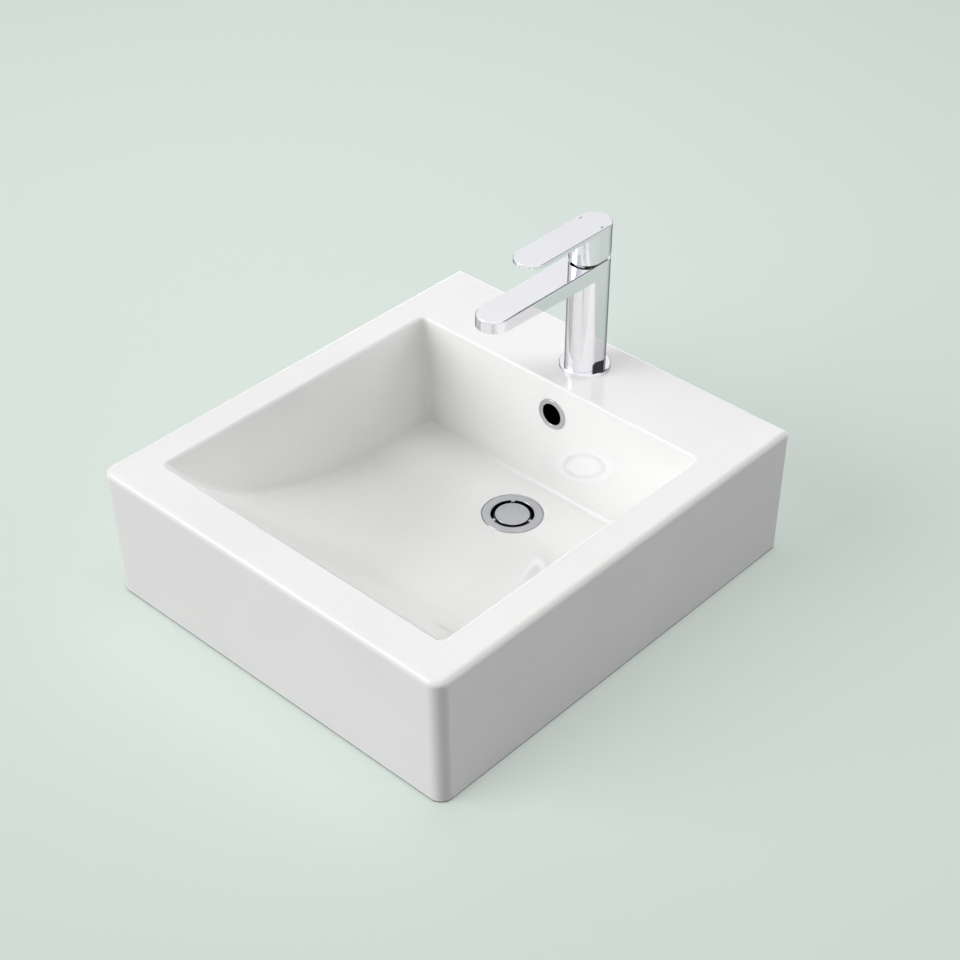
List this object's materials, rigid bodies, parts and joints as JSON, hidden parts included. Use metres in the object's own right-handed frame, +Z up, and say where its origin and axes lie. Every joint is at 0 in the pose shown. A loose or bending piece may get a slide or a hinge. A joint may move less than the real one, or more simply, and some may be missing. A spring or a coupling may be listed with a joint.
{
  "type": "countertop basin",
  "caption": "Rectangular white ceramic countertop basin with a scooped bowl, click waste, overflow ring and a flat-spouted lever mixer tap on its back ledge.",
  "frame": {"origin": "on the counter under the middle of the basin's outline", "axes": "+X to the user's right, +Y to the wall behind the tap, +Z up"},
  "size_m": [0.42, 0.4748, 0.3529],
  "materials": {
    "glaze": "glossy white glaze",
    "chrome": "polished",
    "waste_metal": "satin",
    "rubber": "matte",
    "brass": "machined",
    "steel": "satin",
    "plastic": "moulded",
    "disc": "lapped",
    "hot": "glossy red",
    "cold": "glossy blue"
  },
  "bodies": {
    "basin": {"basin_shell": "glaze", "overflow_ring": "waste_metal", "waste_body": "waste_metal", "waste_flange_gasket": "rubber", "waste_lower_gasket": "rubber", "waste_backnut": "brass", "click_barrel": "brass", "click_spring": "steel", "mixer_body": "chrome", "base_ring": "chrome", "base_gasket": "rubber", "aerator_ring": "chrome", "aerator_insert": "plastic", "aerator_seal": "rubber", "fixing_stud": "steel", "horseshoe_gasket": "rubber", "horseshoe_washer": "steel", "fixing_nut": "brass", "cartridge_housing": "plastic", "cartridge_nut": "brass", "cartridge_base": "plastic", "cartridge_seal": "rubber", "fixed_disc": "disc"},
    "rotor": {"cartridge_rotor": "plastic", "stem_pin": "steel"},
    "lever": {"lever_handle": "chrome", "lever_stem": "brass", "handle_screw": "steel", "hot_mark": "hot", "cold_mark": "cold"},
    "disc": {"moving_disc": "disc", "disc_carrier": "plastic"},
    "plug": {"plug_cap": "waste_metal", "plug_seal": "rubber", "plug_guide": "waste_metal"}
  },
  "joints": [
    {"name": "lever_swivel", "type": "hinge", "parent": "basin", "child": "rotor", "pos_m": [0, 0.19, 0.26], "axis": [0, 0, 1], "range_deg": [-40, 40]},
    {"name": "lever_lift", "type": "hinge", "parent": "rotor", "child": "lever", "pos_m": [0, 0.19, 0.26], "axis": [-1, 0, 0], "range_deg": [0, 18]},
    {"name": "disc_slide", "type": "slide", "parent": "rotor", "child": "disc", "axis": [0, -1, 0], "range_m": [0, 0.0039]},
    {"name": "plug_press", "type": "slide", "parent": "basin", "child": "plug", "axis": [0, 0, -1], "range_m": [0, 0.0045], "deforming": ["click_spring"]}
  ],
  "couplings": [
    {"joint": "disc_slide", "follows": "lever_lift", "m_per_rad": 0.012295}
  ]
}
